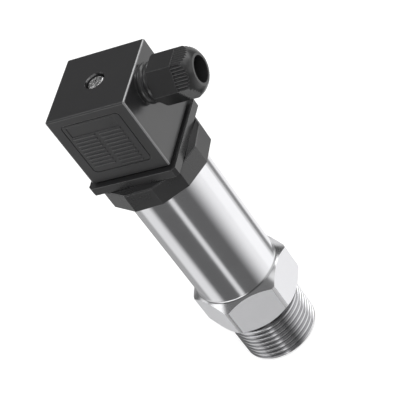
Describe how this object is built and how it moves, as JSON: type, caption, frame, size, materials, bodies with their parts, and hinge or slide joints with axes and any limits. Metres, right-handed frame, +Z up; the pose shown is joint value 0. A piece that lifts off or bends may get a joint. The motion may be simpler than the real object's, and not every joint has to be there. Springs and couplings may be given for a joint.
{
  "type": "pressure transmitter",
  "caption": "Steel tube pressure transmitter with a threaded hexagon fitting, a black many-sided base and a square plug with a side cable gland.",
  "frame": {"origin": "centre of the pressure port's mouth, in the end face of the process thread", "axes": "+Z up the tube towards the plug's top, +X out of the cable gland, -Y out of the plug's ribbed face"},
  "size_m": [0.0515, 0.0368, 0.1245],
  "materials": {
    "fitting_steel": "turned and milled, satin",
    "tube_steel": "smooth polished",
    "cell_steel": "fine turned",
    "contact_metal": "tinned",
    "insert_brass": "turned",
    "screw_steel": "bright plated",
    "black_plastic": "fine moulded texture",
    "nut_plastic": "satin moulded",
    "block_plastic": "plain moulded",
    "component_plastic": "plain moulded",
    "circuit_board": "coated glass laminate",
    "black_rubber": "smooth moulded"
  },
  "bodies": {
    "body": {"process_fitting": "fitting_steel", "sensor_oring": "black_rubber", "sensor_cell": "cell_steel", "cell_pins": "contact_metal", "clamp_ring": "cell_steel", "housing_tube": "tube_steel", "sensor_board": "circuit_board", "main_board": "circuit_board", "board_parts": "component_plastic", "terminal_board": "circuit_board", "socket_base": "black_plastic", "base_oring": "black_rubber", "contact_blade_1": "contact_metal", "contact_blade_2": "contact_metal", "contact_blade_3": "contact_metal", "earth_blade": "contact_metal", "screw_insert": "insert_brass", "flange_gasket": "black_rubber"},
    "plug": {"plug_housing": "black_plastic", "terminal_block": "block_plastic", "terminal_clip_1": "contact_metal", "terminal_clip_2": "contact_metal", "terminal_clip_3": "contact_metal", "earth_clip": "contact_metal", "terminal_screws": "screw_steel", "gland_seal": "black_rubber"},
    "screw_washer": {"screw_seal": "black_rubber"},
    "screw": {"centre_screw": "screw_steel"},
    "nut_washer": {"gland_washer": "block_plastic"},
    "nut": {"gland_nut": "nut_plastic"}
  },
  "joints": [
    {"name": "plug_lift", "type": "slide", "parent": "body", "child": "plug", "axis": [0, 0, 1], "range_m": [0, 0.03]},
    {"name": "screw_rise", "type": "slide", "parent": "plug", "child": "screw_washer", "axis": [0, 0, 1], "range_m": [0, 0.006]},
    {"name": "screw_turn", "type": "hinge", "parent": "screw_washer", "child": "screw", "pos_m": [0, 0, 0.1214], "axis": [0, 0, 1], "range_deg": [0, 4320.1]},
    {"name": "nut_travel", "type": "slide", "parent": "plug", "child": "nut_washer", "axis": [1, 0, 0], "range_m": [0, 0.0075]},
    {"name": "nut_turn", "type": "hinge", "parent": "nut_washer", "child": "nut", "pos_m": [0.02895, 0, 0.11765], "axis": [1, 0, 0], "range_deg": [0, 1800.1]}
  ],
  "couplings": [
    {"joint": "screw_turn", "follows": "screw_rise", "rad_per_m": 12566},
    {"joint": "nut_turn", "follows": "nut_travel", "rad_per_m": 4188.8}
  ]
}
